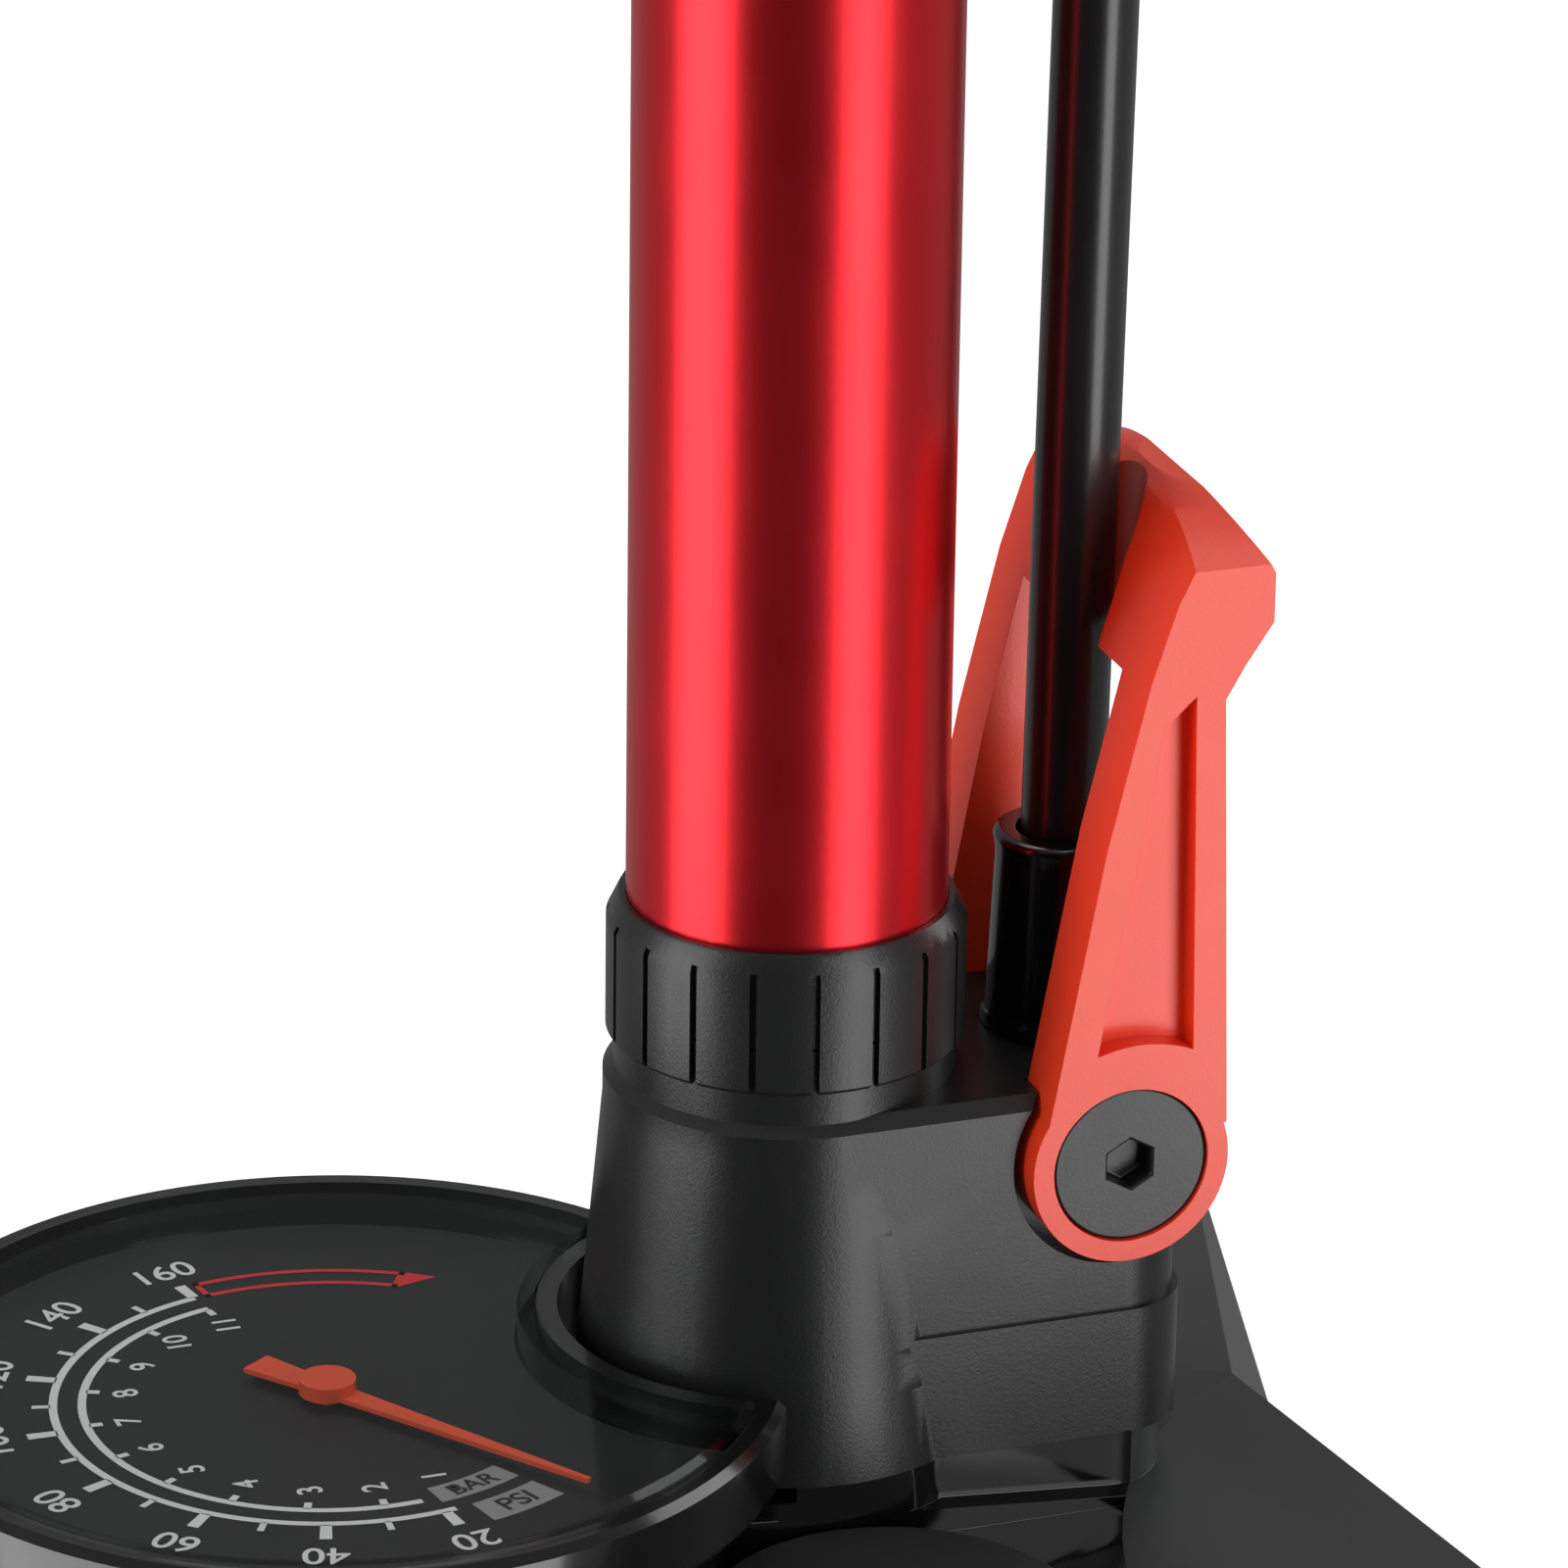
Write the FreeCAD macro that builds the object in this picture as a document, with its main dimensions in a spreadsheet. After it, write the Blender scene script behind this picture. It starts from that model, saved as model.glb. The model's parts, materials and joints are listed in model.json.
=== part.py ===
import FreeCAD, Part

import math
import os
import re

import Sketcher

# A track pump for bicycles that also charges a reservoir for seating tubeless tyres. The barrel stands on
# +Z over the origin, which lies on the floor. The gauge faces up on the -X side, the selector lever and
# the hose are on the +X side, and the user stands there. All sizes are millimetres and degrees.

doc = FreeCAD.newDocument("TrackPump")
dims = doc.addObject("Spreadsheet::Sheet", "dims")
sizes = {
    "Clearances": {
        "fit_slide": 0.05,
        "fit_loose": 0.3,
    },
    "Barrel, reservoir and pump tube": {
        "barrel_radius": 19.0,
        "barrel_wall": 1.5,
        "barrel_foot": 52.0,
        "barrel_length": 540.0,
        "tube_radius": 14.5,
        "tube_wall": 1.5,
        "gasket_thick": 2.0,
    },
    "Base": {
        "foot_rise": 1.5,
        "foot_thick": 3.0,
        "foot_radius": 11.0,
        "plinth_top": 34.0,
        "plinth_inset": 0.8,
        "roof_rise": 32.7,
        "roof_fall_back": 0.08,
        "roof_fall_side": 0.1715,
        "base_wall": 3.5,
        "crest_back": 59.0,
        "crest_sweep": 0.356,
        "crest_drop": 0.2,
        "flank_run": 13.0,
        "flank_fall": 26.5,
        "tail_back": 69.0,
        "tail_sweep": 0.27,
        "wing_span": 106.0,
        "wing_front": 46.0,
        "tip_round": 13.0,
        "rib_thick": 3.0,
        "lobe_radius": 28.0,
        "pad_radius": 22.5,
        "pad_back": -2.0,
        "pad_side": 46.0,
        "pad_thick": 3.0,
        "dish_floor": 24.6,
        "dish_round": 56.0,
        "dish_back": 85.0,
        "dish_side": 50.0,
    },
    "Valve block": {
        "block_top": 79.0,
        "block_radius": 21.6,
        "block_draft": 3.6,
        "block_tail": 44.5,
        "block_corner": 9.0,
        "block_step": 50.0,
        "block_flare": 0.6,
        "block_chamfer": 1.6,
        "neck_radius": 20.4,
        "neck_top": 88.0,
        "chamber_radius": 6.0,
        "chamber_floor": 40.0,
        "air_way": 2.2,
        "screw_ring": 14.5,
        "base_screw_radius": 2.5,
    },
    "Collar nut": {
        "collar_radius": 21.3,
        "collar_foot": 82.6,
        "collar_top": 100.0,
        "collar_land": 3.0,
        "collar_grooves": 18,
        "groove_width": 0.9,
        "groove_depth": 0.9,
    },
    "Selector lever and spindle": {
        "pivot_back": 34.7,
        "pivot_rise": 70.0,
        "spindle_radius": 7.0,
        "eye_radius": 12.3,
        "eye_gap": 1.4,
        "arm_inner": 16.0,
        "arm_outer": 24.5,
        "lever_top": 148.7,
        "lever_crown": 65.0,
        "bridge_under": 129.5,
        "hose_notch": 8.3,
        "web_recess": 3.0,
        "cap_radius": 9.6,
        "cap_thick": 4.0,
        "cap_sink": 0.4,
        "hex_flats": 5.5,
        "shank_radius": 3.0,
        "seal_thick": 1.8,
    },
    "Gauge": {
        "gauge_back": -56.75,
        "rim_radius": 54.7,
        "rim_foot": 36.0,
        "rim_top": 46.4,
        "case_radius": 48.0,
        "case_foot": 18.0,
        "case_wall": 1.8,
        "bite_radius": 29.5,
        "lens_radius": 51.5,
        "lens_top": 47.8,
        "lens_thick": 1.8,
        "lens_wall": 2.2,
        "dial_top": 41.9,
        "dial_thick": 1.0,
        "needle_reach": 39.0,
        "needle_tail": 11.0,
        "needle_wide": 2.2,
        "needle_rise": 1.1,
        "arbor_radius": 1.2,
        "bourdon_radius": 20.5,
        "sector_radius": 15.0,
        "stem_radius": 2.5,
        "stem_rise": 37.5,
    },
    "Hose and ferrule": {
        "hose_radius": 5.0,
        "ferrule_foot_radius": 9.2,
        "ferrule_radius": 7.8,
        "ferrule_top": 103.8,
        "ferrule_depth": 11.8,
        "ferrule_back": 34.4,
    },
    "Top cap, rod and piston": {
        "cap_body": 22.0,
        "cap_skirt": 20.0,
        "cap_crown": 9.0,
        "rod_radius": 5.0,
        "piston_foot": 62.0,
        "piston_length": 14.0,
        "seal_width": 3.5,
        "bush_radius": 8.0,
    },
    "Handle": {
        "handle_rise": 634.0,
        "hub_radius": 13.0,
        "bar_radius": 8.0,
        "grip_radius": 14.5,
        "grip_inner": 17.0,
        "grip_outer": 112.0,
        "bumper_thick": 5.0,
    },
    "Hose guide, dock and pump head": {
        "band_thick": 2.4,
        "guide_foot": 548.0,
        "guide_tall": 14.0,
        "guide_reach": 41.5,
        "dock_foot": 306.0,
        "dock_tall": 14.0,
        "dock_reach": 40.0,
        "head_radius": 11.0,
        "head_foot": 284.0,
        "head_top": 338.0,
        "nozzle_rise": 296.0,
        "nozzle_radius": 8.5,
        "nozzle_reach": 24.0,
        "chuck_radius": 10.5,
        "chuck_length": 11.0,
        "valve_bore": 4.0,
        "latch_wide": 9.0,
        "latch_pin": 2.5,
    },
    "Check valve": {
        "poppet_radius": 4.6,
        "poppet_lift": 1.5,
        "wire_radius": 0.45,
    },
}
line = 0
for group, entries in sizes.items():
    line += 1
    dims.set(f"A{line}", group)
    for alias, value in entries.items():
        line += 1
        dims.set(f"A{line}", alias)
        dims.set(f"B{line}", str(value))
        dims.setAlias(f"B{line}", alias)
doc.recompute()

screw_places = [
    (f"screw_ring * {math.cos(turn):.4f} - 2", f"screw_ring * {math.sin(turn):.4f}")
    for turn in (0, math.tau / 3, 2 * math.tau / 3)
]
aliases = {alias for entries in sizes.values() for alias in entries}
nodes = []


def read(text):
    """Value of an expression in the sheet's names."""
    return float(dims.evalExpression(str(text)))


def bound(text):
    """The expression as other objects write it."""
    return re.sub(r"[a-z_]+", lambda word: f"dims.{word[0]}" if word[0] in aliases else word[0], str(text))


def bind(thing, **values):
    for name, text in values.items():
        thing.setExpression(name.replace("__", "."), bound(text))


def place(thing, x="0", y="0", z="0", axis=None, angle=0):
    if axis:
        thing.Placement = FreeCAD.Placement(FreeCAD.Vector(), FreeCAD.Rotation(FreeCAD.Vector(*axis), angle))
    bind(thing, Placement__Base__x=x, Placement__Base__y=y, Placement__Base__z=z)
    return thing


def keep(thing, label):
    """Marks an object as a sub-part that is written out under its label."""
    thing.Label = label
    nodes.append(thing)
    return thing


# Primitives and booleans -------------------------------------------------------------------------------

turns = {"z": None, "y": ((1, 0, 0), -90), "x": ((0, 1, 0), 90)}


def rod(name, radius, length, x="0", y="0", z="0", along="z"):
    """Cylinder that starts at its place and runs towards +Z, +Y or +X."""
    made = doc.addObject("Part::Cylinder", name)
    bind(made, Radius=radius, Height=length)
    axis, angle = turns[along] or (None, 0)
    return place(made, x, y, z, axis, angle)


def cone(name, foot, top, length, x="0", y="0", z="0", along="z"):
    made = doc.addObject("Part::Cone", name)
    bind(made, Radius1=foot, Radius2=top, Height=length)
    axis, angle = turns[along] or (None, 0)
    return place(made, x, y, z, axis, angle)


def block(name, length, width, height, x="0", y="0", z="0"):
    made = doc.addObject("Part::Box", name)
    bind(made, Length=length, Width=width, Height=height)
    return place(made, x, y, z)


def fuse(name, *shapes):
    made = doc.addObject("Part::MultiFuse", name)
    made.Shapes = list(shapes)
    made.Refine = True
    return made


def cut(name, base, *tools):
    made = doc.addObject("Part::Cut", name)
    made.Base = base
    made.Tool = tools[0] if len(tools) == 1 else fuse(f"{name}_tools", *tools)
    made.Refine = True
    return made


def common(name, base, tool):
    made = doc.addObject("Part::Common", name)
    made.Base, made.Tool = base, tool
    made.Refine = True
    return made


def edges(thing, test):
    """Numbers of the edges whose middle point, start and end pass the test."""
    doc.recompute()
    found = []
    for number, edge in enumerate(thing.Shape.Edges, 1):
        middle = edge.valueAt((edge.FirstParameter + edge.LastParameter) / 2)
        ends = [vertex.Point for vertex in edge.Vertexes]
        if test(edge, middle, ends):
            found.append(number)
    return found


def round_off(name, base, radius, test):
    made = doc.addObject("Part::Fillet", name)
    made.Base = base
    made.Edges = [(number, read(radius), read(radius)) for number in edges(base, test)]
    return made


def bevel(name, base, size, test):
    made = doc.addObject("Part::Chamfer", name)
    made.Base = base
    made.Edges = [(number, read(size), read(size)) for number in edges(base, test)]
    return made


# Bodies with sketches ----------------------------------------------------------------------------------


def start_body(name):
    return doc.addObject("PartDesign::Body", name)


def sketch_on(body, name, role, rise="0"):
    plane = next(item for item in body.Origin.OriginFeatures if item.Role == role)
    sketch = body.newObject("Sketcher::SketchObject", name)
    sketch.AttachmentSupport = [(plane, "")]
    sketch.MapMode = "FlatFace"
    bind(sketch, AttachmentOffset__Base__z=rise)
    return sketch


def outline(sketch, corners):
    """Closed run of lines and arcs. A corner is (u, v), or (u, v, radius, side) when an arc leaves it: side 1
    bulges to the right of the way it runs, and -1 to the left. Every corner and radius is bound to the sheet."""
    spots = [(read(corner[0]), read(corner[1])) for corner in corners]
    count = len(corners)
    starts, ends = [], []
    for k, corner in enumerate(corners):
        (u, v), (p, q) = spots[k], spots[(k + 1) % count]
        first, last = FreeCAD.Vector(u, v, 0), FreeCAD.Vector(p, q, 0)
        if len(corner) > 2:
            radius = read(corner[2])
            chord = last - first
            rise = radius - math.sqrt(max(radius**2 - (chord.Length / 2) ** 2, 0))
            across = FreeCAD.Vector(chord.y, -chord.x, 0).normalize() * corner[3]
            edge = Part.Arc(first, (first + last) * 0.5 + across * rise, last)
        else:
            edge = Part.LineSegment(first, last)
        number = sketch.addGeometry(edge, False)
        forward = (sketch.getPoint(number, 1) - first).Length < 1e-6
        starts.append(1 if forward else 2)
        ends.append(2 if forward else 1)
    for k, corner in enumerate(corners):
        sketch.addConstraint(Sketcher.Constraint("Coincident", k - 1 if k else count - 1, ends[k - 1], k, starts[k]))
        for kind, value in (("DistanceX", corner[0]), ("DistanceY", corner[1])):
            fixed = sketch.addConstraint(Sketcher.Constraint(kind, -1, 1, k, starts[k], read(value)))
            sketch.renameConstraint(fixed, f"{kind[-1].lower()}_{k}")
            sketch.setExpression(f"Constraints.{kind[-1].lower()}_{k}", bound(value))
        if len(corner) > 2:
            fixed = sketch.addConstraint(Sketcher.Constraint("Radius", k, read(corner[2])))
            sketch.renameConstraint(fixed, f"round_{k}")
            sketch.setExpression(f"Constraints.round_{k}", bound(corner[2]))
    return sketch


def extrude(name, role, corners, length, rise="0", both_ways=False):
    """Body padded from a closed outline."""
    body = start_body(name)
    sketch = outline(sketch_on(body, f"{name}_outline", role, rise), corners)
    pad = body.newObject("PartDesign::Pad", f"{name}_pad")
    pad.Profile = sketch
    pad.SideType = "Symmetric" if both_ways else "One side"
    bind(pad, Length=length)
    return body


def turned(name, corners, x="0", y="0", z="0"):
    """Body turned about its own Z axis from a half section of (radius, height) corners."""
    body = start_body(name)
    sketch = outline(sketch_on(body, f"{name}_section", "XZ_Plane"), corners)
    spin = body.newObject("PartDesign::Revolution", f"{name}_turn")
    spin.Profile = sketch
    spin.ReferenceAxis = (sketch, ["V_Axis"])
    spin.Angle = 360
    return place(body, x, y, z)


def tube(name, outer, inner, foot, top, x="0", y="0"):
    return turned(name, [(inner, foot), (outer, foot), (outer, top), (inner, top)], x, y)


# Base --------------------------------------------------------------------------------------------------


def roof_cutter(name, side, drop):
    """Large box whose under face is one slope of the roof, lowered by drop."""
    back, across = read("roof_fall_back"), read("roof_fall_side")
    normal = FreeCAD.Vector(back, side * across, 1).normalize()
    made = doc.addObject("Part::Box", name)
    made.Length, made.Width, made.Height = 500, 500, 120
    turn = FreeCAD.Rotation(FreeCAD.Vector(0, 0, 1), normal)
    corner = FreeCAD.Vector(0, 0, read(f"roof_rise - {drop}")) - turn.multVec(FreeCAD.Vector(250, 250, 0))
    made.Placement = FreeCAD.Placement(corner, turn)
    return made


def flank_cutter(name, side, drop):
    """Large box whose near face is one rear flank, which falls from the crest to the floor."""
    along = FreeCAD.Vector(read("crest_sweep"), side, -read("crest_drop"))
    down = FreeCAD.Vector(read("flank_run"), 0, -read("flank_fall"))
    normal = along.cross(down).normalize()
    normal = normal if normal.x > 0 else normal * -1
    crest = FreeCAD.Vector(read("crest_back"), 0, read("roof_rise - roof_fall_back * crest_back"))
    made = doc.addObject("Part::Box", name)
    made.Length, made.Width, made.Height = 600, 600, 120
    turn = FreeCAD.Rotation(FreeCAD.Vector(0, 0, 1), normal)
    made.Placement = FreeCAD.Placement(
        crest - normal * read(drop) - turn.multVec(FreeCAD.Vector(300, 300, 0)), turn
    )
    half = block(f"{name}_half", "600", "300", "400", "-300", "0" if side > 0 else "-300", "-200")
    return common(f"{name}_own", made, half)


def wing_outline(inset):
    """Half plan of the base from the tail's middle round the +Y wing to the front of the gauge's disc."""
    half = [
        (f"tail_back - {inset}", "0"),
        (f"tail_back + tail_sweep * (wing_span - tip_round) - {inset}", "wing_span - tip_round", "tip_round", 1),
        (f"tail_back + tail_sweep * wing_span - tip_round - {inset}", f"wing_span - {inset}"),
        (f"wing_front + tip_round", f"wing_span - {inset}"),
        (f"pad_back - lobe_radius / 2 + {inset} / 2", f"pad_side + (lobe_radius - {inset}) * 0.866",
         f"lobe_radius - {inset}", 1),
        (f"pad_back - lobe_radius + {inset}", "pad_side"),
    ]
    return half


def make_base():
    def plan(name, inset, foot, length):
        half = wing_outline(inset)
        reach = f"(rim_radius - 2.7 - {inset})"
        join = f"pad_back - lobe_radius + {inset}"
        side = f"sqrt({reach} * {reach} - ({join} - gauge_back) * ({join} - gauge_back))"
        corners = half + [
            (join, side, reach, 1),
            (f"gauge_back - {reach}", "0", reach, 1),
            (join, f"-{side}"),
        ]
        back = []
        flipped = half[::-1]
        for k, corner in enumerate(flipped):
            arc = half[len(half) - 2 - k][2:] if k < len(half) - 1 else ()
            back.append((corner[0], f"-({corner[1]})") + tuple(arc))
        return extrude(name, "XY_Plane", corners + back[:-1], length, foot)

    def roofed(name, inset, foot, drop, flank):
        solid = plan(f"{name}_plan", inset, foot, "60")
        return cut(
            name,
            solid,
            roof_cutter(f"{name}_roof_left", 1, drop),
            roof_cutter(f"{name}_roof_right", -1, drop),
            flank_cutter(f"{name}_flank_left", 1, flank),
            flank_cutter(f"{name}_flank_right", -1, flank),
        )

    shell = roofed("base_shell", "0", "foot_rise", "0", "0")
    hollow = roofed("base_hollow", "base_wall", "foot_rise - 1", "base_wall", "base_wall")
    low = block("base_low", "200", "300", "dish_floor - base_wall - foot_rise + 1", "-115", "-150", "foot_rise - 1")
    hollow = common("base_hollow_low", hollow, low)
    core = rod("base_core", "block_radius + 3", "60", z="-5")
    ribs = [
        block(f"base_rib_{k}", "rib_thick", "300", "60", f"{back}", "-150", "-5")
        for k, back in enumerate(("-84", "-46", "-4", "32", "60"))
    ]
    ribs += [
        block(f"base_long_{k}", "300", "rib_thick", "60", "-150", f"{side} - rib_thick / 2", "-5")
        for k, side in enumerate(("-76", "-40", "0", "40", "76"))
    ]
    hollow = cut("base_pockets", hollow, core, *ribs)

    plinth = fuse(
        "base_plinth",
        cone("plinth_round", "block_radius + block_draft - plinth_inset + 0.4",
             "block_radius + block_draft - plinth_inset", "plinth_top - 20", z="20"),
        block_tail("plinth_tail", "20", "plinth_top - 20", "-plinth_inset"),
    )
    seat = cut(
        "gauge_room",
        rod("gauge_room_disc", "case_radius + 0.8", "60", "gauge_back", "0", "case_foot - 0.1"),
        rod("gauge_room_bite", "bite_radius - 3.5", "80", z="case_foot - 5"),
    )
    neck_room = rod("rim_room", "rim_radius + 1", "30", "gauge_back", "0", "rim_foot - 4.5")
    dishes = []
    for word, side in (("left", "1"), ("right", "-1")):
        dish = cut(
            f"dish_{word}",
            extrude(
                f"dish_{word}_plan",
                "XY_Plane",
                [
                    ("pad_back - pad_radius - 2.5", f"{side} * (pad_side - pad_radius - 0.4)"),
                    ("pad_back + 40", f"{side} * (pad_side - pad_radius - 0.4)"),
                    ("pad_back + 40", f"{side} * 62"),
                    ("pad_back + 22", f"{side} * 74"),
                    ("pad_back - 6", f"{side} * 68"),
                    ("pad_back - pad_radius - 2.5", f"{side} * 54"),
                ],
                "30",
                "dish_floor",
            ),
            rod(f"dish_{word}_lobe", "dish_round", "60", "dish_back", f"{side} * dish_side", "dish_floor - 5"),
        )
        dishes.append(dish)
    bolts = [
        rod(f"base_bolt_way_{k}", "base_screw_radius + 0.15", "60", x, y, "-5")
        for k, (x, y) in enumerate(screw_places)
    ]
    heads = [
        rod(f"base_head_way_{k}", "base_screw_radius * 2 + 0.3", "13", x, y, "-5")
        for k, (x, y) in enumerate(screw_places)
    ]
    foot_rooms = [
        rod(f"foot_room_{name}", f"{size}", "foot_thick", x, y, "0")
        for name, size, x, y in foot_places()
    ]
    bosses = [
        rod(f"pad_boss_{word}", "pad_radius + 1.2", "dish_floor - 15", "pad_back", f"{side} * pad_side", "15")
        for word, side in (("left", "1"), ("right", "-1"))
    ]
    base = cut(
        "base_cut", fuse("base_whole", shell, plinth, *bosses), hollow, seat, neck_room, *dishes, *bolts, *heads,
        *foot_rooms
    )
    return keep(base, "base")


def block_tail(name, foot, length, grow="0"):
    """Rear part of the valve block's plan, with rounded corners, from foot upwards."""
    half, tail, corner = f"(block_radius + {grow})", f"(block_tail + {grow})", "block_corner"
    return extrude(
        name,
        "XY_Plane",
        [
            ("0", f"-{half}"),
            (f"{tail} - {corner}", f"-{half}", corner, 1),
            (tail, f"-{half} + {corner}"),
            (tail, f"{half} - {corner}", corner, 1),
            (f"{tail} - {corner}", half),
            ("0", half),
        ],
        length,
        foot,
    )


def foot_places():
    """Rubber feet: under the axis, under the gauge and under each wing."""
    return [
        ("centre", "foot_radius + 1", "0", "0"),
        ("front", "foot_radius", "gauge_back - 36", "0"),
        ("left", "foot_radius - 2", "wing_front + 31", "wing_span - 17"),
        ("right", "foot_radius - 2", "wing_front + 31", "-(wing_span - 17)"),
    ]


def make_feet_and_pads():
    for name, size, x, y in foot_places():
        keep(rod(f"foot_{name}_disc", f"{size} - 0.1", "foot_thick", x, y, "0"), f"foot_{name}")
    for word, side in (("left", 1), ("right", -1)):
        disc = rod(f"pad_{word}_disc", "pad_radius", "pad_thick", "pad_back", f"{side} * pad_side", "dish_floor")
        rounded = round_off(
            f"pad_{word}_rounded", disc, "0.8",
            lambda edge, middle, ends: middle.z > read("dish_floor") + 1 and len(ends) == 1,
        )
        keep(rounded, f"step_pad_{word}")


# Valve block and what it holds ---------------------------------------------------------------------------


def make_block():
    band = "(3 * block_chamfer)"
    front = fuse(
        "block_front",
        cone("block_front_low", "block_radius + block_draft", "block_radius", f"block_top - plinth_top - {band}",
             z="plinth_top"),
        rod("block_front_band", "block_radius", band, z=f"block_top - {band}"),
    )
    tail = block_tail("block_tail_high", "plinth_top", "block_top - plinth_top")
    skirt = block_tail("block_tail_low", "plinth_top", "block_step - plinth_top", "block_flare")
    solid = bevel(
        "block_bevelled",
        fuse("block_solid", front, tail, skirt),
        "block_chamfer",
        lambda edge, middle, ends: all(abs(p.z - read("block_top")) < 0.01 for p in ends + [middle]),
    )
    neck = rod("block_neck", "neck_radius", "neck_top - block_top + 3", z="block_top - 3")
    eye = "(eye_radius + eye_gap)"
    rooms = []
    for word, foot in (("left", "arm_inner - fit_loose"), ("right", "-arm_outer - 2")):
        depth = "arm_outer + 2 - arm_inner + fit_loose"
        rooms.append(rod(f"eye_room_{word}", eye, depth, "pivot_back", foot, "pivot_rise", "y"))
        rooms.append(
            block(f"arm_room_{word}", "block_tail - pivot_back + 5", depth, f"{eye} + 30", "pivot_back", foot,
                  f"pivot_rise - {eye}")
        )
    bores = [
        rod("block_bore", "barrel_radius + fit_slide", "neck_top", z="barrel_foot - gasket_thick"),
        rod("block_chamber", "chamber_radius", "40", z="chamber_floor"),
        rod("block_way_low", "air_way", "pivot_back + air_way", z="chamber_floor + 3", along="x"),
        rod("block_way_rise", "air_way + 0.5", "60", "pivot_back", "0", "chamber_floor"),
        rod("block_stem_socket", "stem_radius + 0.02", "7.9", "-bite_radius + 2.6", "0", "stem_rise", "x"),
        rod("block_way_gauge", "stem_radius - 1.3", "bite_radius - 7", "-bite_radius + 3", "0", "stem_rise", "x"),
        rod("block_gauge_rise", "stem_radius - 0.9", "chamber_floor - stem_rise + 3", "-4", "0", "stem_rise - 2"),
        rod("block_spindle_bore", "spindle_radius + fit_slide", "60", "pivot_back", "-30", "pivot_rise", "y"),
    ]
    screws = [
        rod(f"block_screw_way_{k}", "base_screw_radius + 0.02", "6.5", x, y, "plinth_top - 1")
        for k, (x, y) in enumerate(screw_places)
    ]
    keep(cut("block_cut", fuse("block_whole", solid, neck), *rooms, *bores, *screws), "valve_block")


def make_collar():
    body = turned(
        "collar_ring",
        [
            ("neck_radius + fit_slide", "collar_foot"),
            ("collar_radius - 0.6", "collar_foot"),
            ("collar_radius", "collar_foot + 0.6"),
            ("collar_radius", "collar_top - collar_land"),
            ("collar_radius - 1.2", "collar_top - 0.5"),
            ("collar_radius - 1.5", "collar_top"),
            ("barrel_radius + fit_slide", "collar_top"),
            ("barrel_radius + fit_slide", "neck_top + fit_loose"),
            ("neck_radius + fit_slide", "neck_top + fit_loose"),
        ],
    )
    sketch = outline(
        sketch_on(body, "collar_groove_outline", "XY_Plane", "collar_foot"),
        [
            ("collar_radius - groove_depth", "-groove_width / 2"),
            ("collar_radius + 1", "-groove_width / 2"),
            ("collar_radius + 1", "groove_width / 2"),
            ("collar_radius - groove_depth", "groove_width / 2"),
        ],
    )
    groove = body.newObject("PartDesign::Pocket", "collar_groove")
    groove.Profile = sketch
    groove.Reversed = True
    bind(groove, Length="collar_top - collar_land - collar_foot + 0.8")
    pattern = body.newObject("PartDesign::PolarPattern", "collar_grooves")
    pattern.Originals = [groove]
    pattern.Axis = (next(item for item in body.Origin.OriginFeatures if item.Role == "Z_Axis"), [""])
    pattern.Angle = 360
    bind(pattern, Occurrences="collar_grooves")
    body.Tip = pattern
    keep(body, "collar_nut")


def make_tubes():
    foot, top = "barrel_foot", "barrel_foot + barrel_length"
    keep(tube("barrel_tube", "barrel_radius", "barrel_radius - barrel_wall", foot, top), "barrel")
    keep(tube("pump_tube_tube", "tube_radius", "tube_radius - tube_wall", foot, f"{top} - 4"), "pump_tube")
    keep(
        tube("gasket_ring", "barrel_radius", "poppet_radius - 1.4", "barrel_foot - gasket_thick", "barrel_foot"),
        "barrel_gasket",
    )
    for k, (x, y) in enumerate(screw_places):
        screw = fuse(
            f"base_screw_{k}",
            rod(f"base_screw_shank_{k}", "base_screw_radius", "31", x, y, "8"),
            rod(f"base_screw_head_{k}", "base_screw_radius * 2", "3.5", x, y, "4.5"),
        )
        keep(screw, f"base_screw_{k + 1}")


def make_check_valve():
    seat = "barrel_foot - gasket_thick"
    keep(
        turned(
            "poppet_turned",
            [
                ("0", "chamber_floor + 3.2"),
                ("1.6", "chamber_floor + 3.2"),
                ("1.6", "chamber_floor + 7"),
                ("poppet_radius", "chamber_floor + 7.6"),
                ("poppet_radius", f"{seat} - 0.6"),
                ("poppet_radius - 1.2", f"{seat} - 0.05"),
                ("0", f"{seat} - 0.05"),
            ],
        ),
        "check_poppet",
    )
    coil = doc.addObject("Part::Helix", "check_coil")
    bind(coil, Pitch="1.55", Height="6.2", Radius="2.6")
    place(coil, z="chamber_floor + wire_radius + 0.05")
    wire = doc.addObject("Part::Circle", "check_wire")
    bind(wire, Radius="wire_radius")
    wire.Placement = FreeCAD.Placement(
        FreeCAD.Vector(2.6, 0, read("chamber_floor + wire_radius + 0.05")),
        FreeCAD.Rotation(FreeCAD.Vector(1, 0, 0), 90),
    )
    spring = doc.addObject("Part::Sweep", "check_spring_sweep")
    spring.Sections = [wire]
    spring.Spine = (coil, ["Edge1"])
    spring.Solid, spring.Frenet = True, True
    keep(spring, "check_spring")


# Selector lever ------------------------------------------------------------------------------------------


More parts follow.
